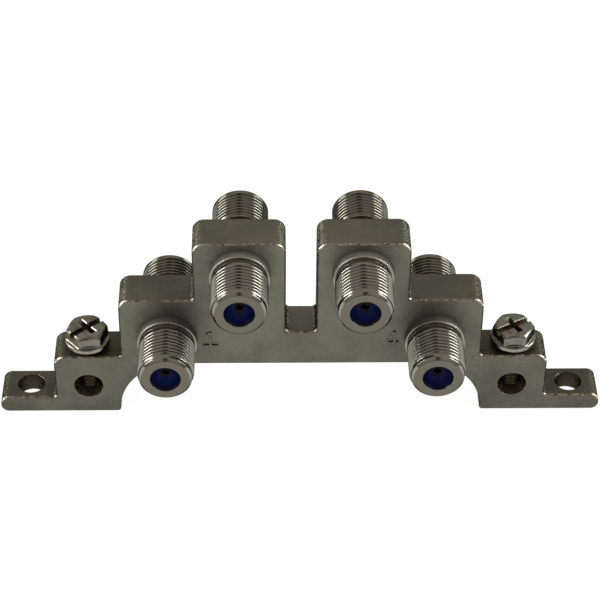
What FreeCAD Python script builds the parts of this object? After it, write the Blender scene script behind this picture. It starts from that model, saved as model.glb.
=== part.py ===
# Coaxial grounding block: a stepped casting with four straight-through coax ports and two ground screws.
# Millimetres. X runs along the body, the numbered face looks along -Y, Z is up and the feet stand on z = 0.
import FreeCAD, Part
import math
import os

# Cast body: widths of one side's steps from the middle slot out to the ear, and heights from the ear up
body_thickness = 7.0
slot_width = 5.1
tower_width = 15.4
shoulder_width = 12.5
foot_overhang = 11.45
ear_length = 9.6
ear_height = 3.4
foot_rise = 9.0
shoulder_rise = 12.4
tower_rise = 11.8
slot_depth = 18.7
crown_radius = 2.0
ear_tip_radius = 1.6
slot_floor_radius = 0.8
step_radius = 0.5
sole_radius = 0.55
edge_break = 0.35

# Arch under the body, between the inner faces of the two feet
foot_width = 11.0
arch_web = 14.05
arch_spring_height = 0.65

# Screw hole through each ear, by which the block is fixed to a wall, set back from the ear's tip
ear_hole_setback = 5.1
ear_hole_radius = 2.3

# Ports: each axis runs through the body along Y, set in from its step's outer face and down from its top
outer_port_inset = 8.0
outer_port_drop = 8.4
inner_port_inset = 7.8
inner_port_drop = 6.3

# Threaded barrel, with 3/8-32 threads on both ends
thread_radius = 4.7625
port_projection = 10.2
nose_length = 1.0
nose_taper = 0.85
relief_radius = 4.4
relief_width = 0.8
collar_radius = 5.05
collar_length = 1.7
collar_chamfer = 0.2
seat_radius = 4.85
seat_clearance = 0.02
lip_radius = 2.53
lip_thickness = 1.0
cavity_radius = 3.25

# Moulded insulator, one in each end of a barrel
insulator_clearance = 0.03
insulator_length = 4.6
face_recess = 0.1
funnel_rim_radius = 2.3
funnel_depth = 1.9
guide_radius = 0.6
guide_length = 0.8

# Centre contact, a tube slit into fingers at both ends
contact_radius = 0.95
contact_bore_radius = 0.42
contact_clearance = 0.03
contact_end_clearance = 0.1
finger_slit_width = 0.25
finger_slit_length = 4.0

# Ground wire hole through each foot, and the screw that clamps the wire in it
wire_hole_inset = 5.7
wire_hole_height = 5.9
wire_hole_radius = 2.5
screw_radius = 2.08
screw_thread_clearance = 0.05
screw_shank_length = 9.2
screw_tip_chamfer = 0.6
screw_flange_radius = 3.85
screw_flange_thickness = 0.85
screw_flange_gap = 0.9
hex_across_flats = 6.35
hex_height = 2.2
hex_crown_drop = 0.45
drive_slot_width = 1.1
drive_slot_depth = 0.95
cross_wing_width = 0.95
cross_reach = 1.95
cross_depth = 1.7
cross_root_radius = 0.6
left_screw_turn = 41.0
right_screw_turn = 30.0

# Places that follow from the sizes above
front_face = -body_thickness / 2
rear_face = body_thickness / 2
tower_x = slot_width / 2 + tower_width
shoulder_x = tower_x + shoulder_width
foot_x = shoulder_x + foot_overhang
ear_x = foot_x + ear_length
foot_top = ear_height + foot_rise
shoulder_top = foot_top + shoulder_rise
tower_top = shoulder_top + tower_rise
arch_top = shoulder_top - arch_web
arch_radius = arch_top - arch_spring_height
wire_hole_x = foot_x - wire_hole_inset
ORIGIN = FreeCAD.Vector(0, 0, 0)
Y_AXIS = FreeCAD.Vector(0, 1, 0)
Z_AXIS = FreeCAD.Vector(0, 0, 1)
HEX_SIDES = 6


def rounded_face(corners):
    """Face in the XZ plane through (x, z, radius) corners, each one rounded by a tangent arc."""
    arcs = []
    for index, (x, z, radius) in enumerate(corners):
        corner = FreeCAD.Vector(x, 0, z)
        before = FreeCAD.Vector(corners[index - 1][0], 0, corners[index - 1][1])
        following = corners[(index + 1) % len(corners)]
        after = FreeCAD.Vector(following[0], 0, following[1])
        back = (before - corner).normalize()
        ahead = (after - corner).normalize()
        half_angle = back.getAngle(ahead) / 2
        inward = (back + ahead).normalize()
        reach = radius / math.tan(half_angle)
        middle = corner + inward * (radius / math.sin(half_angle) - radius)
        arcs.append((corner + back * reach, middle, corner + ahead * reach))
    edges = []
    for index, (start, middle, end) in enumerate(arcs):
        next_start = arcs[(index + 1) % len(arcs)][0]
        edges.append(Part.Arc(start, middle, end).toShape())
        edges.append(Part.LineSegment(end, next_start).toShape())
    return Part.Face(Part.Wire(edges))


def through_hole(x, z, radius):
    """Cylinder along Y that runs well past both faces of the body."""
    start = FreeCAD.Vector(x, -body_thickness, z)
    return Part.makeCylinder(radius, 2 * body_thickness, start, Y_AXIS)


def upright_hole(x, z, height, radius):
    return Part.makeCylinder(radius, height, FreeCAD.Vector(x, 0, z), Z_AXIS)


def revolve_about_y(edges):
    """Solid of revolution about the Y axis from a closed profile in the XY plane, x being the radius."""
    return Part.Face(Part.Wire(edges)).revolve(ORIGIN, Y_AXIS, 360)


def profile_edges(points):
    """Straight edges through (y, radius) points, as an open run."""
    vectors = [FreeCAD.Vector(radius, y, 0) for y, radius in points]
    return [Part.LineSegment(a, b).toShape() for a, b in zip(vectors, vectors[1:])]


def port_places():
    """Name, x and z of the four port axes."""
    rows = (
        ("outer", shoulder_x - outer_port_inset, shoulder_top - outer_port_drop),
        ("inner", tower_x - inner_port_inset, tower_top - inner_port_drop),
    )
    places = []
    for row, x, z in rows:
        places.append((f"{row}_left", -x, z))
        places.append((f"{row}_right", x, z))
    return places


def ground_block():
    """One casting: a stepped arch with broken edges, bored for the barrels, ground wires and screws."""
    right_half = [
        (slot_width / 2, tower_top - slot_depth, slot_floor_radius),
        (slot_width / 2, tower_top, crown_radius),
        (tower_x, tower_top, crown_radius),
        (tower_x, shoulder_top, step_radius),
        (shoulder_x, shoulder_top, crown_radius),
        (shoulder_x, foot_top, step_radius),
        (foot_x, foot_top, crown_radius),
        (foot_x, ear_height, step_radius),
        (ear_x, ear_height, ear_tip_radius),
        (ear_x, 0, sole_radius),
        (foot_x - foot_width, 0, sole_radius),
        (foot_x - foot_width, arch_top, arch_radius),
    ]
    left_half = [(-x, z, radius) for x, z, radius in reversed(right_half)]
    body = rounded_face(right_half + left_half).extrude(Y_AXIS * body_thickness)
    body.translate(Y_AXIS * front_face)
    rim = [e for e in body.Edges if e.BoundBox.YLength < 1e-6]
    body = body.makeChamfer(edge_break, rim)
    holes = [through_hole(x, z, seat_radius + seat_clearance) for name, x, z in port_places()]
    tapped_radius = screw_radius + screw_thread_clearance
    for side in (-1, 1):
        wire_x = side * wire_hole_x
        wall_screw_x = side * (ear_x - ear_hole_setback)
        holes.append(through_hole(wire_x, wire_hole_height, wire_hole_radius))
        holes.append(upright_hole(wire_x, wire_hole_height, foot_top, tapped_radius))
        holes.append(upright_hole(wall_screw_x, -ear_height, ear_height + foot_top, ear_hole_radius))
    return body.cut(holes)


def barrel():
    """Turned shell of one port, its collar against the front face and its seat through the body."""
    front_end = front_face - port_projection
    rear_end = rear_face + port_projection
    collar_front = front_face - collar_length
    seat_end = rear_face + collar_length
    outside = [
        (front_end, lip_radius),
        (front_end, thread_radius - nose_taper),
        (front_end + nose_length, thread_radius),
        (collar_front - relief_width, thread_radius),
        (collar_front - relief_width, relief_radius),
        (collar_front, relief_radius),
        (collar_front, collar_radius - collar_chamfer),
        (collar_front + collar_chamfer, collar_radius),
        (front_face, collar_radius),
        (front_face, seat_radius),
        (seat_end, seat_radius),
        (seat_end, relief_radius),
        (seat_end + relief_width, relief_radius),
        (seat_end + relief_width, thread_radius),
        (rear_end - nose_length, thread_radius),
        (rear_end, thread_radius - nose_taper),
        (rear_end, lip_radius),
    ]
    inside = [
        (rear_end - lip_thickness, lip_radius),
        (rear_end - lip_thickness, cavity_radius),
        (front_end + lip_thickness, cavity_radius),
        (front_end + lip_thickness, lip_radius),
    ]
    return revolve_about_y(profile_edges(outside + inside + outside[:1]))


def front_insulator():
    """Flanged plug behind the barrel's lip, with a funnel that leads a cable's centre wire to the contact."""
    face = front_face - port_projection
    rim_y = face + face_recess
    funnel_end = rim_y + funnel_depth
    guide_end = funnel_end + guide_length
    nose_radius = lip_radius - insulator_clearance
    flange_radius = cavity_radius - insulator_clearance
    socket_radius = contact_radius + contact_clearance
    return revolve_about_y(profile_edges([
        (rim_y, funnel_rim_radius),
        (funnel_end, guide_radius),
        (guide_end, guide_radius),
        (guide_end, socket_radius),
        (face + insulator_length, socket_radius),
        (face + insulator_length, flange_radius),
        (face + lip_thickness, flange_radius),
        (face + lip_thickness, nose_radius),
        (rim_y, nose_radius),
        (rim_y, funnel_rim_radius),
    ]))


def contact():
    """Spring tube from insulator to insulator, slit crosswise at both ends into four fingers."""
    setback = face_recess + funnel_depth + guide_length + contact_end_clearance
    front_end = front_face - port_projection + setback
    length = rear_face + port_projection - setback - front_end
    start = FreeCAD.Vector(0, front_end, 0)
    tube = Part.makeCylinder(contact_radius, length, start, Y_AXIS)
    tube = tube.cut(Part.makeCylinder(contact_bore_radius, length, start, Y_AXIS))
    slits = []
    across = 4 * contact_radius
    for y in (front_end, front_end + length - finger_slit_length):
        for width, height in ((finger_slit_width, across), (across, finger_slit_width)):
            corner = FreeCAD.Vector(-width / 2, y, -height / 2)
            slits.append(Part.makeBox(width, finger_slit_length, height, corner))
    return tube.cut(slits)


def drive_recess(top):
    """Straight slot across the head with a cross recess sunk through its middle."""
    span = 2 * screw_flange_radius
    corner = FreeCAD.Vector(-span / 2, -drive_slot_width / 2, top - drive_slot_depth)
    slot = Part.makeBox(span, drive_slot_width, 2 * drive_slot_depth, corner)
    base = FreeCAD.Vector(0, 0, top - cross_depth)
    taper = Part.makeCone(cross_root_radius, cross_reach, cross_depth, base, Z_AXIS)
    wings = []
    for length, width in ((2 * cross_reach, cross_wing_width), (cross_wing_width, 2 * cross_reach)):
        corner = FreeCAD.Vector(-length / 2, -width / 2, top - cross_depth)
        wings.append(Part.makeBox(length, width, cross_depth, corner).common(taper))
    return [slot] + wings


def ground_screw(turn):
    """Hex washer-head machine screw on the Z axis, turned by its drive slot's angle from +X."""
    seat = foot_top + screw_flange_gap
    hex_base = seat + screw_flange_thickness
    top = hex_base + hex_height
    tip = seat - screw_shank_length
    tip_radius = screw_radius - screw_tip_chamfer
    point = Part.makeCone(tip_radius, screw_radius, screw_tip_chamfer, Z_AXIS * tip, Z_AXIS)
    shank_base = Z_AXIS * (tip + screw_tip_chamfer)
    shank = Part.makeCylinder(screw_radius, screw_shank_length - screw_tip_chamfer, shank_base, Z_AXIS)
    flange = Part.makeCylinder(screw_flange_radius, screw_flange_thickness, Z_AXIS * seat, Z_AXIS)
    corner_radius = hex_across_flats / math.sqrt(3)
    side_angle = 2 * math.pi / HEX_SIDES
    corners = []
    for index in range(HEX_SIDES + 1):
        angle = side_angle * (index + 0.5)
        out = FreeCAD.Vector(math.cos(angle), math.sin(angle), 0)
        corners.append(out * corner_radius + Z_AXIS * hex_base)
    head = Part.Face(Part.makePolygon(corners)).extrude(Z_AXIS * hex_height)
    crown_height = hex_height - hex_crown_drop
    crown_top_radius = (hex_across_flats - hex_crown_drop) / 2
    crown_base = Z_AXIS * (hex_base + crown_height)
    crown = Part.makeCone(corner_radius, crown_top_radius, hex_crown_drop, crown_base, Z_AXIS)
    neck = Part.makeCylinder(corner_radius, crown_height, Z_AXIS * hex_base, Z_AXIS)
    head = head.common(neck.fuse(crown))
    screw = shank.fuse([point, flange, head]).removeSplitter()
    screw = screw.cut(drive_recess(top))
    screw.rotate(ORIGIN, Z_AXIS, turn)
    return screw


def placed(shape, x, z):
    copy = shape.copy()
    copy.translate(FreeCAD.Vector(x, 0, z))
    return copy


def write(shape, name):
    shape.exportStep(f"parts/{name}.step")


os.makedirs("parts", exist_ok=True)
write(ground_block(), "ground_block")

port_shell = barrel()
port_front_insulator = front_insulator()
port_rear_insulator = port_front_insulator.rotated(ORIGIN, Z_AXIS, 180)
port_contact = contact()
for port, x, z in port_places():
    write(placed(port_shell, x, z), f"{port}_barrel")
    write(placed(port_front_insulator, x, z), f"{port}_front_insulator")
    write(placed(port_rear_insulator, x, z), f"{port}_rear_insulator")
    write(placed(port_contact, x, z), f"{port}_contact")

write(placed(ground_screw(left_screw_turn), -wire_hole_x, 0), "left_ground_screw")
write(placed(ground_screw(right_screw_turn), wire_hole_x, 0), "right_ground_screw")
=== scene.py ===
# Coaxial grounding block: the cast body, its four port barrels with their insulators and contacts, and two
# ground screws, finished as the real ones are. Meshes are worked out in millimetres and stored in metres.
import math
import bpy
import numpy as np
from mathutils import Matrix, Vector


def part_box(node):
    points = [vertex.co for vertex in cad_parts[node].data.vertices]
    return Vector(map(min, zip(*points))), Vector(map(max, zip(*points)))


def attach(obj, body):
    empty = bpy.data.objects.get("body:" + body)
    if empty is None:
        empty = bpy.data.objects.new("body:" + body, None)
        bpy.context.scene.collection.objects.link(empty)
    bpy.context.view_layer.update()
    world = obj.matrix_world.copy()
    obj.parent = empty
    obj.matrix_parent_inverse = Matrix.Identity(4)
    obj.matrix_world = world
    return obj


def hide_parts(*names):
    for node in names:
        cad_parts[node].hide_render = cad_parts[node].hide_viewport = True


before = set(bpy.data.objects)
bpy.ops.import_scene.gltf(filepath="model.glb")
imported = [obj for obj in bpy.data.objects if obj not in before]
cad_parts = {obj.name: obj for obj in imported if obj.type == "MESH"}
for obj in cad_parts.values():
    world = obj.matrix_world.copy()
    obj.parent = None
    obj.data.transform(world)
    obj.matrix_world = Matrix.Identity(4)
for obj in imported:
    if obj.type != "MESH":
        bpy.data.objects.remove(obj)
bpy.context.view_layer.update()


# The body is one zinc die casting, tumbled so that every edge is soft, then plated in satin nickel.
# It stands on two feet with an arch between them, and steps up to two towers with a slot between them.
# The ports, ground wires, ground screws and wall screws all go through holes drilled straight through it.
MILLIMETRE = 0.001
half_thickness, edge_radius = 3.5, 0.4
tower_x, shoulder_x, foot_x, ear_x = 17.95, 30.45, 41.9, 51.5
tower_top, shoulder_top, foot_top, ear_top = 36.6, 24.8, 12.4, 3.4
corner_radius, inner_corner_radius, ear_tip_radius = 2.0, 0.5, 1.6
ear_sole_radius, foot_sole_radius = 1.3, 0.55
slot_half_width, slot_floor, slot_floor_radius = 2.55, 17.9, 0.8
arch_x, arch_top, arch_radius = 30.9, 10.75, 10.1
port_bore_radius, port_bore_edge = 4.87, 0.02
wire_hole_x, wire_hole_z, wire_hole_radius = 36.2, 5.9, 2.5
ear_hole_x, ear_hole_radius = 46.4, 2.3
tapped_hole_radius, hole_edge = 2.13, 0.05
corner_steps, drill_columns = 18, 96
rim_angles = np.radians(np.linspace(0, 90, 7))
port_places = {}
for port in ("outer_left", "outer_right", "inner_left", "inner_right"):
    low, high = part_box(f"{port}_barrel")
    port_places[port] = np.array((low + high) / 2) / MILLIMETRE


def rounded_loop(corners, steps):
    """Closed loop through (a, b, radius) corners, taken counter-clockwise, with its outward normals.

    At each corner the normal turns evenly from one side's normal to the next one's, and the point is the
    arc's centre plus the radius times that normal, or minus it where the corner is hollow.
    """
    corners = np.array(corners, float)
    place, radius = corners[:, :2], corners[:, 2]
    side = np.roll(place, -1, axis=0) - place
    leaving = np.stack([side[:, 1], -side[:, 0]], axis=1) / np.linalg.norm(side, axis=1)[:, None]
    coming = np.roll(leaving, 1, axis=0)
    along = np.sum(coming * leaving, axis=1)
    bulge = np.sign(coming[:, 0] * leaving[:, 1] - coming[:, 1] * leaving[:, 0]) * radius
    centre = place - (bulge / (1 + along))[:, None] * (coming + leaving)
    turn = np.arccos(along)[:, None, None]
    share = np.linspace(0, 1, steps + 1)[None, :, None]
    normal = np.sin((1 - share) * turn) * coming[:, None] + np.sin(share * turn) * leaving[:, None]
    normal = normal / np.sin(turn)
    points = centre[:, None] + bulge[:, None, None] * normal
    return points.reshape(-1, 2), normal.reshape(-1, 2)


def skin(grid, ring=False):
    """Points and faces of a (rows, columns, 3) grid, closed round its columns.

    The last row meets the first one in a ring, and otherwise one flat face closes each of the two. A face
    looks along the cross product of the step to the next column and the step to the next row.
    """
    rows, columns = grid.shape[:2]
    row, column = np.meshgrid(np.arange(rows if ring else rows - 1), np.arange(columns), indexing="ij")
    after, beside = (row + 1) % rows * columns, (column + 1) % columns
    row = row * columns
    faces = np.stack([row + column, row + beside, after + beside, after + column], axis=-1)
    faces = faces.reshape(-1, 4).tolist()
    if not ring:
        faces.append(list(range(columns))[::-1])
        faces.append(list(range((rows - 1) * columns, rows * columns)))
    return grid.reshape(-1, 3), faces


def slab(corners, front, back, edge, steps):
    """Shell of a flat outline in XZ between two depths, both rims rounded.

    Across a rim the outline steps in by edge * (1 - sin a) while the depth runs by edge * (1 - cos a). The
    columns run against the outline, clockwise, so that the faces look outwards.
    """
    outline, outward = rounded_loop(corners, steps)
    setback = edge * (1 - np.sin(rim_angles))
    depth = edge * (1 - np.cos(rim_angles))
    setback = np.concatenate([setback, setback[::-1]])[:, None]
    depth = np.concatenate([front + depth, back - depth[::-1]])[:, None]
    x = outline[:, 0] - setback * outward[:, 0]
    z = outline[:, 1] - setback * outward[:, 1]
    return skin(np.stack([x, depth + 0 * x, z], axis=-1)[:, ::-1])


def turned(along, radius, centre, axis, ring=False):
    """Shell of a profile turned about the Y or Z axis through a centre.

    A point at distance a along the axis and radius r goes, at a column's angle t, to r sin t across and
    r cos t up about Y, or to r cos t and r sin t in X and Y about Z. The radius may differ by column.
    """
    angle = np.arange(radius.shape[1]) * 2 * math.pi / radius.shape[1]
    along = along + 0 * radius
    sine, cosine = radius * np.sin(angle), radius * np.cos(angle)
    grid = np.stack([sine, along, cosine] if axis == "Y" else [cosine, sine, along], axis=-1)
    return skin(grid + np.asarray(centre), ring)


def add_piece(name, *shells):
    """One object from shells, each of points in millimetres and faces."""
    points = np.concatenate([shell[0] for shell in shells]) * MILLIMETRE
    faces, count = [], 0
    for shell_points, shell_faces in shells:
        faces += [[count + number for number in face] for face in shell_faces]
        count += len(shell_points)
    mesh = bpy.data.meshes.new(name)
    mesh.from_pydata(points.tolist(), [], faces)
    piece = bpy.data.objects.new(name, mesh)
    bpy.context.scene.collection.objects.link(piece)
    return piece


def drill(x, y, z, reach, radius, axis, edge):
    """Cutter for a hole that goes as far as reach both ways along its axis, from its middle at (x, y, z).

    From the edge's width before each end it opens at 45 degrees, and so runs on past the surface.
    """
    overshoot = 1
    profile = np.array([
        (-reach - overshoot, radius + edge + overshoot),
        (edge - reach, radius),
        (reach - edge, radius),
        (reach + overshoot, radius + edge + overshoot),
    ])
    return turned(profile[:, :1], profile[:, 1:] + np.zeros(drill_columns), (x, y, z), axis)


def applied(piece):
    """Makes the result of the piece's modifiers its own mesh."""
    bpy.context.view_layer.update()
    evaluated = piece.evaluated_get(bpy.context.evaluated_depsgraph_get())
    mesh = bpy.data.meshes.new_from_object(evaluated)
    piece.modifiers.clear()
    piece.data = mesh


def finished(piece, cutters=()):
    """Cuts the cutters out of the piece, then shades it smooth but for sharp edges and flat faces."""
    for cutter in cutters:
        cut = piece.modifiers.new(cutter.name, "BOOLEAN")
        cut.object, cut.operation, cut.solver = cutter, "DIFFERENCE", "EXACT"
    applied(piece)
    sharpest_smooth_edge = math.radians(35)
    piece.data.shade_smooth()
    piece.data.set_sharp_from_angle(angle=sharpest_smooth_edge)
    even = piece.modifiers.new("even normals", "WEIGHTED_NORMAL")
    even.keep_sharp, even.weight = True, 100
    applied(piece)
    for cutter in cutters:
        bpy.data.objects.remove(cutter)
    return piece


def dressed(piece, material, slot, body, *nodes):
    """Gives the piece its material, rides it on its body, and hides the nodes it stands for. The slot is not
    used.
    """
    piece.data.materials.clear()
    piece.data.materials.append(material)
    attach(piece, body)
    if nodes:
        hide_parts(*nodes)


right_half = [
    (slot_half_width, slot_floor, slot_floor_radius),
    (slot_half_width, tower_top, corner_radius),
    (tower_x, tower_top, corner_radius),
    (tower_x, shoulder_top, inner_corner_radius),
    (shoulder_x, shoulder_top, corner_radius),
    (shoulder_x, foot_top, inner_corner_radius),
    (foot_x, foot_top, corner_radius),
    (foot_x, ear_top, inner_corner_radius),
    (ear_x, ear_top, ear_tip_radius),
    (ear_x, 0, ear_sole_radius),
    (arch_x, 0, foot_sole_radius),
    (arch_x, arch_top, arch_radius),
]
left_half = [(-x, z, radius) for x, z, radius in reversed(right_half)]
body_outline = (right_half + left_half)[::-1]
casting = add_piece("casting", slab(
    body_outline, -half_thickness, half_thickness, edge_radius, corner_steps))
drills_across = [drill(x, 0, z, half_thickness, port_bore_radius, "Y", port_bore_edge)
                 for x, y, z in port_places.values()]
drills_upright = []
tapped_reach = (foot_top - wire_hole_z) / 2
for sign in (-1, 1):
    wire_x, ear_screw_x = sign * wire_hole_x, sign * ear_hole_x
    drills_across.append(
        drill(wire_x, 0, wire_hole_z, half_thickness, wire_hole_radius, "Y", hole_edge))
    drills_upright.append(
        drill(wire_x, 0, wire_hole_z + tapped_reach, tapped_reach, tapped_hole_radius, "Z", hole_edge))
    drills_upright.append(
        drill(ear_screw_x, 0, ear_top / 2, ear_top / 2, ear_hole_radius, "Z", hole_edge))
finished(casting, [
    add_piece("drills across", *drills_across),
    add_piece("drills upright", *drills_upright),
])


class Shade:
    """A value in a material's node tree: arithmetic on it adds Math nodes, and node() adds any other."""

    def __init__(self, tree, socket=None):
        self.tree, self.socket = tree, socket

    def node(self, kind, settings=None, sockets=None, output=0):
        """Adds a node of that kind, makes its settings, then sets or links its sockets; gives one output."""
        made = self.tree.nodes.new("ShaderNode" + kind)
        for name, value in (settings or {}).items():
            setattr(made, name, value)
        for name, value in (sockets or {}).items():
            if isinstance(value, Shade):
                self.tree.links.new(value.socket, made.inputs[name])
            else:
                made.inputs[name].default_value = value
        return None if output is None else Shade(self.tree, made.outputs[output])

    def math(self, operation, *values):
        return self.node("Math", {"operation": operation}, dict(enumerate(values)))

    def __add__(self, other):
        return self.math("ADD", self, other)

    def __sub__(self, other):
        return self.math("SUBTRACT", self, other)

    def __rsub__(self, other):
        return self.math("SUBTRACT", other, self)

    def __mul__(self, other):
        return self.math("MULTIPLY", self, other)

    def __truediv__(self, other):
        return self.math("DIVIDE", self, other)

    def __pow__(self, other):
        return self.math("POWER", self, other)

    def __abs__(self):
        return self.math("ABSOLUTE", self)

    __radd__, __rmul__ = __add__, __mul__

    def least(self, other):
        return self.math("MINIMUM", self, other)

    def most(self, other):
        return self.math("MAXIMUM", self, other)

    def rise(self, low, high):
        """Smooth step from 0 at low to 1 at high."""
        return self.node("MapRange", {"interpolation_type": "SMOOTHSTEP"}, {0: self, 1: low, 2: high})

    def noise(self, place, scale, detail=2.0):
        """Noise of 0 to 1 with that many swells to the millimetre."""
        return self.node("TexNoise", {}, {"Vector": place, "Scale": scale, "Detail": detail})

    def blend(self, first, second):
        """Colour between two colours, by this value."""
        return self.node("Mix", {"data_type": "RGBA"}, {0: self, 6: first, 7: second}, output=2)

    def bump(self, height):
        """Normal tilted by this value as a height, in millimetres for a value of 1."""
        return self.node("Bump", {}, {"Height": self, "Distance": height * MILLIMETRE, "Strength": 1.0})


def split(start, vector):
    """The X, Y and Z of a vector."""
    return [start.node("SeparateXYZ", {}, {0: vector}, output=name) for name in "XYZ"]


def outward_normal(start):
    """The X, Y and Z of the surface's normal."""
    return split(start, start.node("NewGeometry", output="Normal"))


def new_material(name):
    """Empty material, its start for expressions, the place on the piece in millimetres, and its X, Y, Z."""
    material = bpy.data.materials.new(name)
    material.use_nodes = True
    material.node_tree.nodes.clear()
    start = Shade(material.node_tree)
    place = start.node("TexCoord", output="Object")
    place = start.node("VectorMath", {"operation": "SCALE"}, {0: place, "Scale": 1 / MILLIMETRE})
    return material, start, place, split(start, place)


def surface(start, **sockets):
    """Principled surface of the material, with its sockets named in words joined by underscores."""
    sockets = {name.replace("_", " "): value for name, value in sockets.items()}
    shader = start.node("BsdfPrincipled", {}, sockets)
    start.node("OutputMaterial", {}, {"Surface": shader}, output=None)


def away_from(centre_a, centre_b, a, b):
    """Distance from a centre in the plane of a and b: the root of the sum of both squared differences."""
    return ((a - centre_a) ** 2.0 + (b - centre_b) ** 2.0) ** 0.5


def depth_in_step(width, height, side, top, radius):
    """Distance in from the outline of a step with a rounded corner.

    Past the start of the rounding both ways it is the radius less the distance to the rounding's centre, and
    elsewhere the distance to the nearer of side and top.
    """
    past_side, past_top = width - (side - radius), height - (top - radius)
    past_both = (past_side.most(0) ** 2.0 + past_top.most(0) ** 2.0) ** 0.5
    return radius - (past_both + past_side.most(past_top).least(0))


low_nickel, high_nickel = (0.096, 0.090, 0.068, 1), (0.214, 0.203, 0.160, 1)
slot_nickel, plated_tint = (0.30, 0.285, 0.23, 1), (0.06, 0.06, 0.05, 1)
painted_port_shade, painted_top_shade = (0.070, 0.058, 0.036, 1), (0.070, 0.064, 0.046, 1)
pit_soil, darker_edge = (0.060, 0.055, 0.040, 1), (0.040, 0.034, 0.022, 1)
rubbed_edge, polished_corner_and_highlight = (0.42, 0.33, 0.22, 1), (0.60, 0.56, 0.46, 1)
wire_hole_wall, ear_hole_shade = (0.30, 0.25, 0.175, 1), (0.058, 0.048, 0.034, 1)
lightest_height = 34.0
cast_nickel, start, place, (x, y, z) = new_material("satin plated casting")
width = abs(x)

# Depth under the nearest edge of the outline or of the two flat faces.
inside = depth_in_step(width, z, tower_x, tower_top, corner_radius)
inside = inside.most(depth_in_step(width, z, shoulder_x, shoulder_top, corner_radius))
inside = inside.most(depth_in_step(width, z, foot_x, foot_top, corner_radius))
inside = inside.most(depth_in_step(width, z, ear_x, ear_top, ear_tip_radius))
inside = inside.least((width - slot_half_width).most(slot_floor - z))
from_edge = inside.most(half_thickness - abs(y))

# Casting pits on the sides, and edges that are rubbed bright or darker. The upward outer corners are
# polished, and their near-white colour is a painted highlight.
cloud = start.noise(place, 0.16, 3.0)
grain = start.noise(place, 2.2, 3.0)
fine = start.noise(place, 7.0)
patch = start.noise(place, 0.9)
to_side, to_front, upward = outward_normal(start)
pitted = abs(to_side).rise(0.15, 0.6) * start.noise(place, 2.6, 1.0).rise(0.45, 0.6)
corner = (abs(to_side) * abs(to_front) * upward.most(0)).rise(0.05, 0.12)
rubbed = 1 - (from_edge + 0.25 * (grain - 0.5)).rise(0.14, 0.36)
polished = (rubbed * upward.rise(0.05, 0.35) * (0.5 * fine + 0.5 * patch).rise(0.46, 0.56)).most(corner)

# The colour is darker towards the feet and lighter towards the tops, painted shade and light over a random
# mottle. Painted shade darkens the faces round the ports, every upward face a little and the foot tops round
# the screws most, and the slot's floor is lighter.
mottle_and_height_light = 0.5 * (0.6 * cloud + 0.4 * grain).rise(0.3, 0.7) + 0.5 * (z / lightest_height)
colour = mottle_and_height_light.blend(low_nickel, high_nickel)
# Painted shade, in blotches, on the faces round each port.
for port in ("outer_right", "inner_right"):
    near_port = 1 - away_from(port_places[port][0], port_places[port][2], width, z).rise(5.0, 10.0)
    port_shade = near_port * (0.4 * cloud + 0.6 * patch).rise(0.35, 0.6) * (1 - upward.rise(0.3, 0.6))
    colour = (0.2 * port_shade).blend(colour, painted_port_shade)
facing_up = upward.rise(0.7, 0.95)
# Painted shade on every upward face, strongest on the foot tops round the screws.
top_shade_amount = 0.09 + 0.33 * abs(z - foot_top - 0.5).rise(1.5, 0.5)
colour = (facing_up * top_shade_amount).blend(colour, painted_top_shade)
in_slot = 1 - width.rise(slot_half_width - 0.2, slot_half_width + 0.3)
colour = (facing_up * in_slot * 0.6).blend(colour, slot_nickel)
colour = (pitted * patch.rise(0.5, 0.6) * 0.6).blend(colour, pit_soil)
colour = ((rubbed - polished) * 0.7).blend(colour, darker_edge)
colour = (polished * 0.9).blend(colour, rubbed_edge)
# The upward outer corners are polished, and coloured near white as a painted highlight.
colour = corner.blend(colour, polished_corner_and_highlight)
from_wire_hole = away_from(wire_hole_x, wire_hole_z, width, z) - wire_hole_radius
from_ear_hole = away_from(ear_hole_x, 0, width, y) - ear_hole_radius
colour = (1 - from_wire_hole.rise(-0.02, 0.12)).blend(colour, wire_hole_wall)
# Painted shade: the ear holes' walls are coloured dark.
colour = (1 - from_ear_hole.rise(-0.02, 0.12)).blend(colour, ear_hole_shade)
roughness = 0.48 + 0.12 * (grain - 0.5) - 0.24 * polished - 0.26 * pitted
relief = grain + 0.35 * fine + 0.8 * polished + 2.8 * pitted
surface(start, Base_Color=colour, Metallic=1.0, Roughness=roughness, Specular_Tint=plated_tint,
        Normal=relief.bump(0.03))
dressed(casting, cast_nickel, "cast_body", "block", "ground_block")


# Each port is a brass barrel turned in one piece and nickel-plated bright, pressed through the body up to its
# collar. Both ends carry a 3/8-32 thread for a coax plug's nut, from a smooth land beside the body to a
# stepped nose in front, and to a short chamfer behind.
barrel_reach = 13.7
thread_radius, thread_pitch, thread_depth = 4.7625, 25.4 / 32, 0.38
crest_share, crest_phase = 0.42, 0.807
seat_radius, collar_radius, collar_length = 4.85, 5.05, 1.7
undercut_radius, undercut_end = 4.4, half_thickness + 2.5
lip_radius, lip_thickness, cavity_radius = 2.53, 1.0, 3.25
nose_radius, nose_length, nose_chamfer, nose_shoulder = 4.42, 1.05, 0.48, 0.45
rear_chamfer, rear_chamfer_length = 0.6, 0.55
thread_start, thread_end, thread_fade = half_thickness + 2.9, barrel_reach - nose_length - 0.05, 0.4
divided_above, grooved_above = 4.6, 4.5
thread_step, barrel_columns = 0.04, 96


def mirrored(corners):
    """The same (distance along, radius, rounding) corners at the other end, in the order of a loop."""
    return [(-along, radius, rounding) for along, radius, rounding in reversed(corners)]


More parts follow.
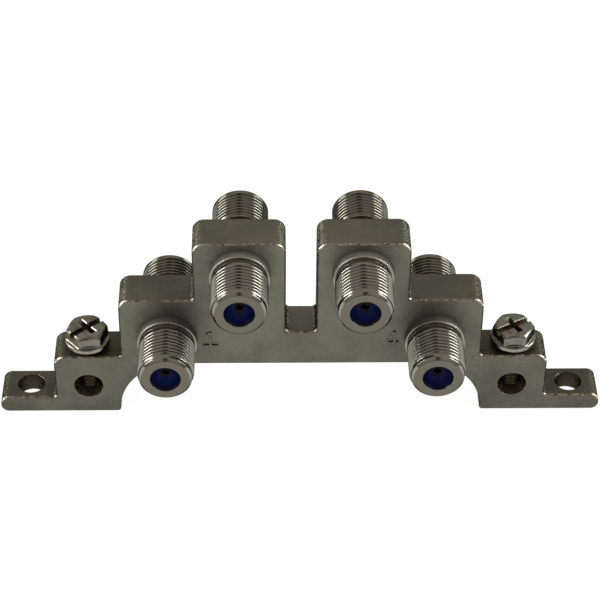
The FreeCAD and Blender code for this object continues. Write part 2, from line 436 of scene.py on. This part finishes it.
def finely_divided(points, low, high, above, step):
    """Closed loop with points a step apart where the distance along is low to high and the radius is above."""
    ahead = np.roll(points, -1, axis=0)
    middle = np.abs(points[:, 0] + ahead[:, 0]) / 2
    length = np.linalg.norm(ahead - points, axis=1)
    divided = (middle > low) & (middle < high) & (points[:, 1] > above)
    parts = np.where(divided, np.ceil(length / step), 1).astype(int)
    owner = np.repeat(np.arange(len(points)), parts)
    share = (np.arange(len(owner)) - np.repeat(np.cumsum(parts) - parts, parts)) / parts[owner]
    return points[owner] + share[:, None] * (ahead - points)[owner]


def smooth_step(values, low, high):
    """Rise from 0 to 1 between low and high, as t * t * (3 - 2 t)."""
    share = np.clip((values - low) / (high - low), 0, 1)
    return share * share * (3 - 2 * share)


def thread_groove(along, columns, pitch, crest, phase):
    """Depth, 0 to 1, of a right-handed screw thread: a turn round goes a pitch along.

    The crest takes up its share of the pitch, and a V the rest, cut slightly too deep so that its root comes
    out flat. Crest and root are rounded: a depth d becomes half of d plus the root of d * d and a small
    number, and likewise down from 1.
    """
    overcut, crest_softness, root_softness = 1.12, 0.2, 0.02
    turn = along / pitch - np.arange(columns) / columns - phase
    from_root = np.abs(2 * (turn % 1) - 1)
    depth = overcut * (1 - from_root / (1 - crest))
    from_bottom = 1 - (depth + np.sqrt(depth * depth + crest_softness)) / 2
    return 1 - (from_bottom + np.sqrt(from_bottom * from_bottom + root_softness)) / 2


lip = [
    (barrel_reach - lip_thickness, cavity_radius, 0.05),
    (barrel_reach - lip_thickness, lip_radius, 0.05),
    (barrel_reach, lip_radius, 0.12),
]
undercut = [(undercut_end, thread_radius, 0.1), (undercut_end, undercut_radius, 0.05)]
rear_seat = [
    (half_thickness + collar_length, undercut_radius, 0.05),
    (half_thickness + collar_length, seat_radius, 0.12),
]
front_collar = [
    (-half_thickness, seat_radius, 0.01),
    (-half_thickness, collar_radius, 0.01),
    (-half_thickness - collar_length, collar_radius, 0.2),
    (-half_thickness - collar_length, undercut_radius, 0.05),
]
front_nose = [
    (barrel_reach, nose_radius - nose_chamfer, 0.12),
    (barrel_reach - nose_chamfer, nose_radius, 0.2),
    (barrel_reach - nose_length, nose_radius, 0.3),
    (barrel_reach - nose_length - nose_shoulder, thread_radius, 0.2),
]
rear_nose = [
    (barrel_reach, thread_radius - rear_chamfer, 0.12),
    (barrel_reach - rear_chamfer_length, thread_radius, 0.2),
]
barrel_corners = (mirrored(lip) + lip + rear_nose + undercut + rear_seat + front_collar + mirrored(undercut)
                  + mirrored(front_nose))
barrel_loop = finely_divided(
    rounded_loop(barrel_corners, 6)[0], thread_start - thread_fade, thread_end, divided_above, thread_step)

# The loop is taken backwards, so that the turned faces look outwards.
barrel_along, barrel_radius = barrel_loop[::-1, :1], barrel_loop[::-1, 1:]
from_middle = np.abs(barrel_along)
groove = thread_groove(barrel_along, barrel_columns, thread_pitch, crest_share, crest_phase)
groove = groove * smooth_step(from_middle, thread_start, thread_start + thread_fade)
groove = groove * (1 - smooth_step(from_middle, thread_end - thread_fade, thread_end))
groove = groove * (barrel_radius > grooved_above)

bright_plating, thread_root_shade = (0.280, 0.268, 0.225, 1), (0.110, 0.095, 0.065, 1)
rear_barrel_shade, warm_top_reflection = (0.070, 0.062, 0.046, 1), (0.36, 0.265, 0.150, 1)
faced_end, collar_painted_light = (0.150, 0.140, 0.108, 1), (0.35, 0.33, 0.275, 1)
turning_marks = 24.0
bright_nickel, start, place, (x, y, z) = new_material("bright plated turning")
groove_depth = start.node("Attribute", {"attribute_name": "groove"}, output="Fac")
turning = start.noise(start.node("CombineXYZ", {}, {"Y": y * turning_marks}), 1.0, 1.0)
blotches = start.noise(place, 0.9, 3.0)
upward = outward_normal(start)[2]
end_face = abs(y).rise(barrel_reach - 0.16, barrel_reach - 0.02)
behind_body = y.rise(half_thickness, half_thickness + 2.0)
beside_body = 1 - abs(y).rise(thread_start, thread_start + 0.3)
collar = 1 - abs(y).rise(half_thickness + collar_length - 0.1, half_thickness + collar_length + 0.1)
# Painted shade, a little brown, in the thread roots.
colour = (groove_depth.rise(0.6, 1.0) * 0.6).blend(bright_plating, thread_root_shade)
# Painted shade on the barrels behind the body.
colour = (behind_body * 0.42).blend(colour, rear_barrel_shade)
# A painted warm reflection along the barrels' tops, in blotches.
colour = (upward.rise(0.93, 0.99) * (0.35 + 0.4 * blotches)).blend(colour, warm_top_reflection)
colour = end_face.blend(colour, faced_end)
# Painted light: the collar is coloured lighter than the rest of the barrel.
colour = collar.blend(colour, collar_painted_light)
roughness = 0.13 + 0.10 * blotches + 0.14 * end_face + 0.04 * beside_body + 0.22 * collar
surface(start, Base_Color=colour, Metallic=1.0, Roughness=roughness, Specular_Tint=plated_tint,
        Normal=(turning * (0.02 + 0.1 * beside_body) + 0.03 * blotches).bump(0.09))
for port, centre in port_places.items():
    barrel = add_piece(f"{port}_plated_barrel", turned(
        barrel_along, barrel_radius - thread_depth * groove, centre, "Y", ring=True))
    values = barrel.data.attributes.new("groove", "FLOAT", "POINT")
    values.data.foreach_set("value", groove.astype(np.float32).ravel())
    finished(barrel)
    dressed(barrel, bright_nickel, "plated_barrel", "block", f"{port}_barrel")


# A moulded dark blue insulator sits behind each barrel's lip. Its face is a smooth bowl with a small hole at
# the bottom, which leads a cable's centre wire straight into the contact.
insulator_face, insulator_back = barrel_reach - 0.1, barrel_reach - 4.6
plug_radius, plug_edge, flange_radius, socket_radius = 2.5, 0.04, 3.22, 0.98
guide_radius, guide_length = 0.6, 0.8
bowl_mouth, bowl_depth, bowl_bend, bowl_swell = 2.42, 1.9, 0.9, 0.75
insulator_columns = 72
bowl_floor = insulator_face - bowl_depth
outer_side = [
    (bowl_floor - guide_length, guide_radius),
    (bowl_floor - guide_length, socket_radius),
    (insulator_back, socket_radius),
    (insulator_back, flange_radius),
    (barrel_reach - lip_thickness, flange_radius),
    (barrel_reach - lip_thickness, plug_radius),
    (insulator_face - 2 * plug_edge, plug_radius),
    (insulator_face, plug_radius - plug_edge),
    (insulator_face, bowl_mouth),
]

# Going in by a share s, the bowl deepens as the sine of a quarter turn times s, to the power of its bend,
# and narrows as 1 - s to the power of its swell.
share = np.linspace(0, 1, 13)[1:-1]
bowl_side = np.stack([
    insulator_face - bowl_depth * np.sin(share * math.pi / 2) ** bowl_bend,
    guide_radius + (bowl_mouth - guide_radius) * (1 - share) ** bowl_swell,
], axis=-1)
guide_mouth = [(bowl_floor, guide_radius + 0.02)]
insulator_profile = np.concatenate([outer_side, bowl_side, guide_mouth])

deep_blue, full_blue = (0.0010, 0.0034, 0.045, 1), (0.0018, 0.0058, 0.074, 1)
blue_in_shade = (0.0004, 0.0008, 0.004, 1)
blue_plastic, start, place, (x, y, z) = new_material("dark blue moulded plastic")
mottle = start.noise(place, 1.3)
skin_grain = start.noise(place, 12.0)
from_outer_axis, from_inner_axis = [
    away_from(port_places[port][0], port_places[port][2], abs(x), z) for port in ("outer_right", "inner_right")]
from_port_axis = from_outer_axis.least(from_inner_axis)
rim_shade = from_port_axis.rise(1.75, 2.4) * 0.8
hole_shade = 0.95 - 0.95 * from_port_axis.rise(0.8, 1.6)
colour = rim_shade.most(hole_shade).blend(mottle.blend(deep_blue, full_blue), blue_in_shade)
surface(start, Base_Color=colour, Roughness=0.42 + 0.1 * mottle, Specular_IOR_Level=0.12,
        Normal=(skin_grain + mottle).bump(0.004))
for port, centre in port_places.items():
    for end, sign in (("front", -1), ("rear", 1)):
        along = sign * insulator_profile[:, :1]
        radius = insulator_profile[:, 1:] + np.zeros(insulator_columns)
        shell = turned(along[::sign], radius[::sign], centre, "Y", ring=True)
        insulator = finished(add_piece(f"{port}_{end}_plug", shell))
        dressed(insulator, blue_plastic, "insulator", "block", f"{port}_{end}_insulator")


# The contacts are drawn brass spring tubes, one through each barrel, slit into fingers at both ends. They
# show only at the bottom of the bowls, so they keep the CAD's own form and get their material here.
dull_brass, clean_brass = (0.50, 0.36, 0.13, 1), (0.62, 0.47, 0.20, 1)
drawn_swells = (9.0, 0.6, 9.0)
spring_brass, start, place = new_material("spring brass")[:3]
stretched = start.node("VectorMath", {"operation": "MULTIPLY"}, {0: place, 1: drawn_swells})
drawn = start.noise(stretched, 1.0, 3.0)
surface(start, Base_Color=drawn.blend(dull_brass, clean_brass), Metallic=1.0, Roughness=0.25 + 0.2 * drawn,
        Normal=drawn.bump(0.004))
for port in port_places:
    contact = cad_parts[f"{port}_contact"]
    contact.data.materials.clear()
    contact.data.materials.append(spring_brass)


# Two plated steel ground screws clamp the wires. Each has a cold-headed hex with a washer under it, a crown
# turned down round its corners, and a straight slot across a cross recess for any driver. The shank has the
# same 32 threads to the inch as the ports, cut up to a short point.
screw_tip, screw_seat, washer_top, screw_top = 4.1, 13.3, 14.15, 16.35
washer_radius, washer_edge, washer_chamfer = 3.85, 0.22, 0.1
half_flats, hex_fillet, hex_power, head_columns = 3.175, 0.12, 34, 192
crown_dome, corner_cut, corner_cut_radius, crown_drop_at_rim = 0.06, 0.7, 3.0, 0.28
shank_radius, point_radius, point_length = 2.08, 1.55, 0.5
screw_groove_depth, screw_crest_share, shank_columns, shank_rows = 0.42, 0.2, 64, 193
slot_levels = [(screw_top - 0.95, 5, 0.5), (screw_top - 0.18, 5, 0.54), (screw_top + 0.4, 5, 1.12)]
wing_levels = [(screw_top - 1.7, 0.7, 0.36), (screw_top - 0.13, 1.95, 0.46), (screw_top + 0.4, 2.5, 0.99)]


def hexagon(columns, half_width, power):
    """Distance to a hexagon's side at each column's angle t, its corners slightly rounded.

    The terms |cos(t - 60 n)| for n of 0, 1 and 2 are raised to a high power and summed, the same root is
    taken of the sum, and half_width is divided by it.
    """
    angle = np.arange(columns)[:, None] * 2 * math.pi / columns
    lean = np.abs(np.cos(angle - np.radians([0, 60, 120])))
    return half_width * np.sum(lean ** power, axis=1) ** (-1 / power)


def sunk_bar(turn, *levels):
    """Cutter for a recess: a rectangle at each (height, half length, half width), turned about Z."""
    corners = np.array([(-1, -1), (1, -1), (1, 1), (-1, 1)], float)
    to_x, to_y = [math.cos(turn), -math.sin(turn)], [math.sin(turn), math.cos(turn)]
    rows = []
    for height, half_length, half_width in levels:
        flat = corners * (half_length, half_width)
        rows.append(np.column_stack([flat @ to_x, flat @ to_y, np.full(len(flat), height)]))
    return np.stack(rows)


# The head's rows go from the crown's middle over its rounded rim, down the hex and over the washer.
side_of_hex = hexagon(head_columns, half_flats, hex_power)
rounding = rim_angles[:, None]
crown_share = np.concatenate([np.linspace(0.25, 0.85, 6)[:, None], 0.88 + 0.12 * np.sin(rounding)])
top_radius = crown_share * side_of_hex
crown_drop = (crown_dome * (top_radius / half_flats) ** 2
              + corner_cut * np.clip(top_radius - corner_cut_radius, 0, None))
crown_drop[-len(rounding):] += crown_drop_at_rim * (1 - np.cos(rounding))
washer_flat, washer_face = washer_radius - washer_edge, washer_top - 0.04
head_rows = (
    (screw_top - crown_drop, top_radius),
    (washer_top + 0.1, side_of_hex),
    (washer_top, side_of_hex + hex_fillet),
    (washer_face, washer_flat),
    (washer_face - washer_edge * (1 - np.cos(rounding)), washer_flat + washer_edge * np.sin(rounding)),
    (screw_seat + washer_chamfer, washer_radius),
    (screw_seat, washer_radius - washer_chamfer),
    (screw_seat, shank_radius + 0.05),
)
head_height, head_radius = [
    np.concatenate([np.atleast_2d(row[part]) + np.zeros(head_columns) for row in head_rows])
    for part in (0, 1)]
shank_along = np.linspace(screw_tip, screw_seat + 0.4, shank_rows)[:, None]
shank_outline = np.interp(shank_along, [screw_tip, screw_tip + point_length], [point_radius, shank_radius])
shank_groove = thread_groove(shank_along, shank_columns, thread_pitch, screw_crest_share, 0)
shank_groove = shank_groove * smooth_step(shank_along, screw_tip + 0.2, screw_tip + 1.0)

clean_steel, handled_steel = (0.300, 0.290, 0.242, 1), (0.200, 0.182, 0.138, 1)
shaded_flat, recess_steel = (0.060, 0.052, 0.038, 1), (0.20, 0.155, 0.115, 1)
slot_edge_highlight, shank_shade = (0.34, 0.32, 0.27, 1), (0.090, 0.072, 0.052, 1)
screw_steel, start, place, (x, y, z) = new_material("plated steel screw")
soil = start.noise(place, 0.8, 3.0)
micro = start.noise(place, 6.0, 3.0)
upward = outward_normal(start)[2]
from_screw_axis = away_from(wire_hole_x, 0, abs(x), y)
flats = (1 - abs(upward).rise(0.3, 0.6)) * z.rise(washer_top + 0.1, washer_top + 0.3)
recess = (1 - z.rise(screw_top - 0.7, screw_top - 0.3)) * (1 - from_screw_axis.rise(2.0, 2.6))
highlit_slopes = upward.rise(0.35, 0.5) * (1 - upward.rise(0.8, 0.9)) * (1 - from_screw_axis.rise(2.4, 2.6))
colour = soil.rise(0.4, 0.7).blend(clean_steel, handled_steel)
colour = (flats * 0.45).blend(colour, shaded_flat)
colour = recess.blend(colour, recess_steel)
# Painted highlight along the sloped edges of the slot and the recess.
colour = (highlit_slopes * 0.5 * micro.rise(0.35, 0.6)).blend(colour, slot_edge_highlight)
# Painted shade darkens the shank below the seat, inside its hole.
colour = (1 - z.rise(screw_seat - 0.3, screw_seat)).blend(colour, shank_shade)
surface(start, Base_Color=colour, Metallic=1.0, Roughness=0.17 + 0.16 * micro, Specular_Tint=plated_tint,
        Normal=(micro + soil).bump(0.01))
for side, sign, slot_degrees in (("left", -1, 41), ("right", 1, 30)):
    turn = math.radians(slot_degrees)
    centre = (sign * wire_hole_x, 0, 0)
    points, faces = turned(head_height[::-1], head_radius[::-1], (0, 0, 0), "Z")
    points = points @ np.array(Matrix.Rotation(turn, 3, "Z")).T + centre
    head = add_piece(f"{side}_screw_head", (points, faces))
    finished(head, [
        add_piece(f"{side} slot", skin(sunk_bar(turn, *slot_levels) + centre)),
        add_piece(f"{side} wings across", skin(sunk_bar(turn + math.pi / 2, *wing_levels) + centre)),
        add_piece(f"{side} wings along", skin(sunk_bar(turn, *wing_levels) + centre)),
    ])
    dressed(head, screw_steel, "plated_screw", f"{side}_screw", f"{side}_ground_screw")
    shank = add_piece(f"{side}_screw_shank", turned(
        shank_along, shank_outline - screw_groove_depth * shank_groove, centre, "Z"))
    finished(shank)
    dressed(shank, screw_steel, "plated_screw", f"{side}_screw")


# The outer ports' numbers are cast with the body and stand about a quarter of a millimetre out of its front
# face. The one is a single outline with a foot. The four is three strokes that run through each other, each
# standing out by its own height, so that no two faces lie in one plane.
numeral_corner, numeral_edge, numeral_root = 0.08, 0.05, 0.1
numerals = {
    "one": [
        (0.25, [(-16.5, 14.8), (-13.9, 14.8), (-13.9, 15.18), (-15.06, 15.18), (-15.06, 17.9), (-15.3, 17.9),
                (-15.9, 17.55), (-15.9, 17.2), (-15.42, 17.4), (-15.42, 15.18), (-16.5, 15.18)]),
    ],
    "four": [
        (0.25, [(14.55, 15.33), (16.45, 15.33), (16.45, 15.72), (14.55, 15.72)]),
        (0.27, [(15.5, 14.9), (15.94, 14.9), (15.94, 17.95), (15.5, 17.95)]),
        (0.19, [(14.35, 15.6), (14.62, 15.6), (15.75, 17.95), (15.45, 17.95)]),
    ],
}
for name, strokes in numerals.items():
    shells = []
    for numeral_height, stroke in strokes:
        corners = [(x, z, numeral_corner) for x, z in stroke]
        front, back = -half_thickness - numeral_height, -half_thickness + numeral_root
        shells.append(slab(corners, front, back, numeral_edge, 3))
    dressed(finished(add_piece(f"numeral_{name}", *shells)), cast_nickel, "cast_body", "block")


# The block stands on a white table between soft boxes, two beside it and two behind, as for a catalogue
# photograph. The table is white to the camera and in reflections, with enough real light left in it to show
# shadows. The metal mirrors a grey room, with a dark strip where the photographer stands.
table_material, start = new_material("white table")[:2]
seen = start.node("LightPath", output="Is Camera Ray")
seen = seen.most(start.node("LightPath", output="Is Glossy Ray"))
seen = seen.most(start.node("LightPath", output="Is Transmission Ray"))
lit = start.node("BsdfDiffuse", {}, {"Color": (0.8, 0.8, 0.8, 1)})
shadowed = start.node("BsdfDiffuse", {}, {"Color": (0.12, 0.12, 0.12, 1)})
glow = start.node("Emission", {}, {"Color": (1, 1, 1, 1), "Strength": 0.93})
white = start.node("AddShader", {}, {0: shadowed, 1: glow})
mixed = start.node("MixShader", {}, {0: seen, 1: lit, 2: white})
start.node("OutputMaterial", {}, {"Surface": mixed}, output=None)
table_half_width = 3
table_corners = [(x * table_half_width, y * table_half_width, 0)
                 for x, y in ((-1, -1), (1, -1), (1, 1), (-1, 1))]
table_mesh = bpy.data.meshes.new("table")
table_mesh.from_pydata(table_corners, [], [(0, 1, 2, 3)])
table_mesh.materials.append(table_material)
table = bpy.data.objects.new("table", table_mesh)
bpy.context.scene.collection.objects.link(table)


def soft_box(name, place, aim, width, height, radiance):
    """Area lamp at a place, facing the aim point, with its power set from the radiance of its face."""
    lamp = bpy.data.lights.new(name, "AREA")
    lamp.shape, lamp.size, lamp.size_y = "RECTANGLE", width, height
    lamp.energy = radiance * math.pi * width * height
    holder = bpy.data.objects.new(name, lamp)
    bpy.context.scene.collection.objects.link(holder)
    facing = (Vector(place) - Vector(aim)).to_track_quat("Z", "Y")
    holder.matrix_world = Matrix.Translation(place) @ facing.to_matrix().to_4x4()
    holder.visible_camera = False


lamp_aim = (0, 0, 0.018)
for sign in (-1, 1):
    soft_box("soft box beside", (sign * 0.90, 0.02, 0.47), lamp_aim, width=0.40, height=0.56, radiance=12.0)
    soft_box("soft box behind", (sign * 0.66, 0.82, 0.22), lamp_aim, width=0.16, height=0.36, radiance=4.0)

white_room, dark_clothes = (1, 1, 1, 1), (0.02, 0.02, 0.02, 1)
grey_wall, grey_ceiling = (0.22, 0.21, 0.20, 1), (0.46, 0.44, 0.40, 1)
world = bpy.data.worlds.new("studio")
bpy.context.scene.world = world
world.use_nodes = True
world.node_tree.nodes.clear()
start = Shade(world.node_tree)
to_right, to_back, to_ceiling = split(start, start.node("TexCoord", output="Generated"))
photographer = (1 - abs(to_right).rise(0.08, 0.16)) * (1 - to_back.rise(-0.4, -0.15))
photographer = photographer * (1 - to_ceiling.rise(0.85, 0.95))
mirrored_room = to_ceiling.rise(0.05, 0.55).blend(grey_wall, grey_ceiling)
mirrored_room = photographer.blend(mirrored_room, dark_clothes)
colour = start.node("LightPath", output="Is Glossy Ray").blend(white_room, mirrored_room)
sky = start.node("Background", {}, {"Color": colour, "Strength": 1.0})
start.node("OutputWorld", {}, {"Surface": sky}, output=None)

# The camera's lens, place and turn come from the fit to the photo. The focal length is in pixels, as the
# photo's width is.
photo_width, focal_length, sensor_width = 600, 2192.817, 36.0
aim_point, camera_distance = Vector((-0.000148, 0, 0.021921)), 0.367731
elevation, swing, tilt = math.radians(39.943), math.radians(-1.116), math.radians(0.478)
lens = bpy.data.cameras.new("camera")
lens.sensor_width, lens.lens = sensor_width, focal_length / photo_width * sensor_width
lens.clip_start = 0.01
level = Vector((math.cos(swing), math.sin(swing), 0))
back = Vector((math.sin(swing) * math.cos(elevation), -math.cos(swing) * math.cos(elevation),
               math.sin(elevation)))
untilted_up = back.cross(level)
right = math.cos(tilt) * level + math.sin(tilt) * untilted_up
up = math.cos(tilt) * untilted_up - math.sin(tilt) * level
camera_turn = Matrix((right, up, back)).transposed().to_4x4()
camera = bpy.data.objects.new("camera", lens)
bpy.context.scene.collection.objects.link(camera)
camera.matrix_world = Matrix.Translation(aim_point + camera_distance * back) @ camera_turn
bpy.context.scene.camera = camera
bpy.context.scene.view_settings.view_transform = "Standard"
